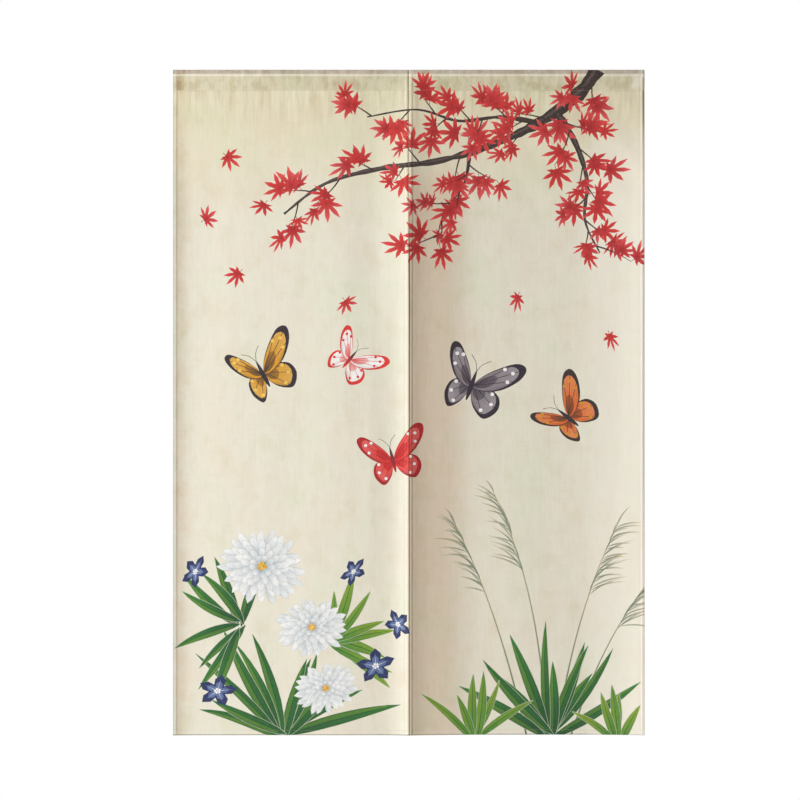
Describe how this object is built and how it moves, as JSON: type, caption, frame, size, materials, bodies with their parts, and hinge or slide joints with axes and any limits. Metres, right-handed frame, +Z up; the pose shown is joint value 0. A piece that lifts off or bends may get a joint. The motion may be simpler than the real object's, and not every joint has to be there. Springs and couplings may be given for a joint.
{
  "type": "noren curtain",
  "caption": "Split doorway curtain of two printed cloth panels, sewn together at the top, with a rod pocket along the upper edge.",
  "frame": {"origin": "middle of the curtain's top edge, on the line where a rod carries the cloth", "axes": "+Z up, +X across the doorway to the viewer's right, -Y out of the cloth's printed front"},
  "size_m": [0.85, 0.0241, 1.2],
  "materials": {
    "heading_cloth": "matt linen-look cloth, doubled into a pocket and topstitched",
    "printed_cloth": "matt linen-look cloth in an aged cream, with a printed plant design"
  },
  "bodies": {
    "root": {"left_sleeve": "heading_cloth", "right_sleeve": "heading_cloth", "left_panel": "printed_cloth", "right_panel": "printed_cloth"}
  },
  "joints": []
}
